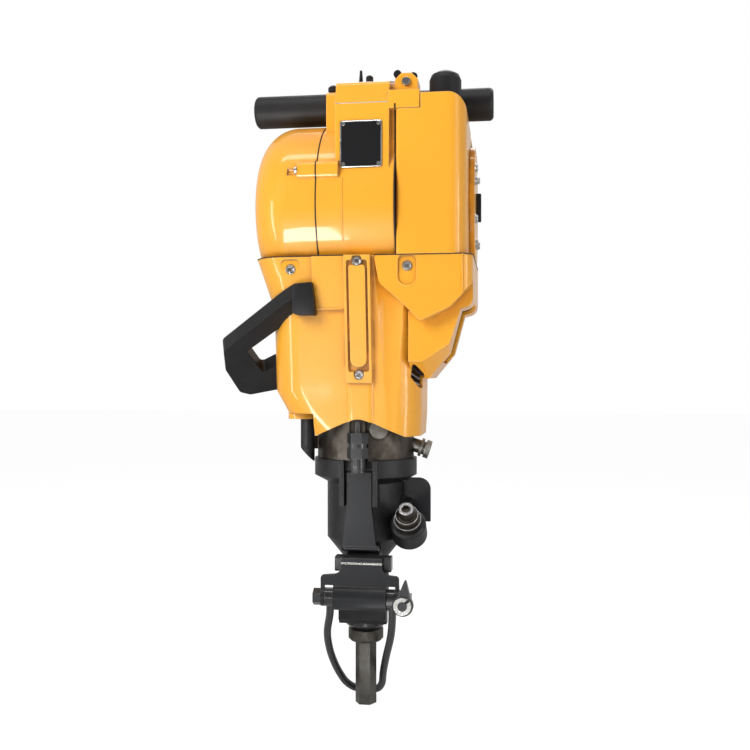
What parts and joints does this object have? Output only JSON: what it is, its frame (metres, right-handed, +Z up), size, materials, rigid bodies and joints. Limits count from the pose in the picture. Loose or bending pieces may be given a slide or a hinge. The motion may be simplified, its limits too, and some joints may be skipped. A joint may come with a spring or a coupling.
{
  "type": "hand-held petrol rock drill",
  "caption": "Hand-held petrol rock drill with handlebar, carry handle, fuel tank, starter drum, cast front head, steel retainer bail and a hexagonal drill steel.",
  "frame": {"origin": "centre of the chuck mouth on the drill axis, where the drill steel's collar seats", "axes": "+Z up the drill axis to the handlebar, -Y the front with the name plate, +X to the fuel tank"},
  "size_m": [0.3193, 0.2066, 0.742],
  "materials": {
    "steel": "forged, dull",
    "machined": "machined, oiled",
    "bright": "zinc plated",
    "casting": "black enamel on a rough casting",
    "black_steel": "black, satin",
    "yellow": "glossy orange-yellow",
    "rubber": "black moulded rubber",
    "plastic": "black moulded plastic",
    "aluminium": "as cast",
    "foam": "filter foam",
    "plate": "black plate with a silver edge",
    "brass": "turned"
  },
  "bodies": {
    "housing": {"pawl_ring": "steel", "front_head": "casting", "leaf_spring": "black_steel", "clamping_stud": "black_steel", "hinge_bolt": "black_steel", "selector_body": "casting", "selector_cover": "plastic", "cylinder": "machined", "side_plug": "machined", "disc_plug": "machined", "main_bearings": "bright", "centre_housing": "yellow", "starter_cover": "yellow", "name_plate": "plate", "plate_rivets": "bright", "handlebar": "black_steel", "left_grip": "rubber", "right_grip": "rubber", "throttle_box": "yellow", "throttle_screw": "bright", "fuel_tank": "yellow", "air_filter_housing": "yellow", "air_filter_element": "foam", "carburettor": "aluminium", "side_cover": "yellow", "side_cover_bar": "plastic", "casing_screws": "bright", "front_shroud": "yellow", "rear_shroud": "yellow", "louvre_grille": "plastic", "blow_tube": "casting", "carry_handle": "plastic", "muffler": "black_steel", "spark_plug": "bright", "ignition_coil": "plastic"},
    "chuck": {"chuck_sleeve": "black_steel", "ratchet_ring": "steel"},
    "steel": {"drill_steel": "steel"},
    "hammer": {"hammer_piston": "steel"},
    "piston": {"engine_piston": "aluminium", "piston_rings": "steel", "wrist_pin": "steel", "connecting_rod": "steel", "crank_pin": "steel"},
    "crank": {"crankshaft": "steel", "flywheel_fan": "aluminium"},
    "pulley": {"starter_pulley": "plastic"},
    "pull": {"starter_handle": "rubber"},
    "retainer": {"retainer_bracket": "black_steel", "bail_pivot_bolt": "black_steel", "latch_screw": "black_steel", "lock_washer": "bright"},
    "bail": {"bail": "black_steel"},
    "latch": {"latch_lever": "black_steel"},
    "selector": {"selector_spindle": "machined"},
    "throttle": {"throttle_lever": "plastic"},
    "switch": {"stop_switch": "plastic"},
    "button": {"primer_button": "rubber"},
    "cap": {"fuel_cap": "plastic"}
  },
  "joints": [
    {"name": "chuck_turn", "type": "hinge", "parent": "housing", "child": "chuck", "pos_m": [0, 0, 0.05], "axis": [0, 0, 1], "continuous": true},
    {"name": "steel_slide", "type": "slide", "parent": "chuck", "child": "steel", "axis": [0, 0, -1], "range_m": [0, 0.014]},
    {"name": "hammer_slide", "type": "slide", "parent": "housing", "child": "hammer", "axis": [0, 0, 1], "range_m": [0, 0.042]},
    {"name": "piston_slide", "type": "slide", "parent": "housing", "child": "piston", "axis": [0, 0, 1], "range_m": [0, 0.07]},
    {"name": "crank_spin", "type": "hinge", "parent": "housing", "child": "crank", "pos_m": [0, 0, 0.492], "axis": [1, 0, 0], "continuous": true},
    {"name": "pulley_turn", "type": "hinge", "parent": "housing", "child": "pulley", "pos_m": [0, 0, 0.492], "axis": [-1, 0, 0], "range_deg": [0, 680]},
    {"name": "starter_pull", "type": "slide", "parent": "housing", "child": "pull", "axis": [0, 0, 1], "range_m": [0, 0.6]},
    {"name": "retainer_rock", "type": "hinge", "parent": "housing", "child": "retainer", "pos_m": [0.004, -0.044, 0.083], "axis": [-1, 0, 0], "range_deg": [0, 2], "stiffness_Nm_per_rad": 60},
    {"name": "bail_swing", "type": "hinge", "parent": "retainer", "child": "bail", "pos_m": [0, -0.057, 0.046], "axis": [1, 0, 0], "range_deg": [0, 50]},
    {"name": "latch_turn", "type": "hinge", "parent": "retainer", "child": "latch", "pos_m": [0.0527, -0.075, 0.043], "axis": [0, 1, 0], "range_deg": [-35, 35]},
    {"name": "selector_turn", "type": "hinge", "parent": "housing", "child": "selector", "pos_m": [0.0555, -0.035, 0.122], "axis": [0, -0.766, 0.6428], "range_deg": [0, 90]},
    {"name": "throttle_turn", "type": "hinge", "parent": "housing", "child": "throttle", "pos_m": [0.05775, -0.0537, 0.624], "axis": [0, 1, 0], "range_deg": [-10, 20]},
    {"name": "stop_flip", "type": "hinge", "parent": "housing", "child": "switch", "pos_m": [0.0015, -0.048, 0.6325], "axis": [0, 1, 0], "range_deg": [-15, 15]},
    {"name": "primer_press", "type": "slide", "parent": "housing", "child": "button", "axis": [0, 0, -1], "range_m": [0, 0.003], "stiffness_N_per_m": 300},
    {"name": "cap_turn", "type": "hinge", "parent": "housing", "child": "cap", "pos_m": [0.099, -0.056, 0.61], "axis": [0, 0, 1], "continuous": true}
  ],
  "couplings": [
    {"joint": "starter_pull", "follows": "pulley_turn", "m_per_rad": 0.05}
  ]
}
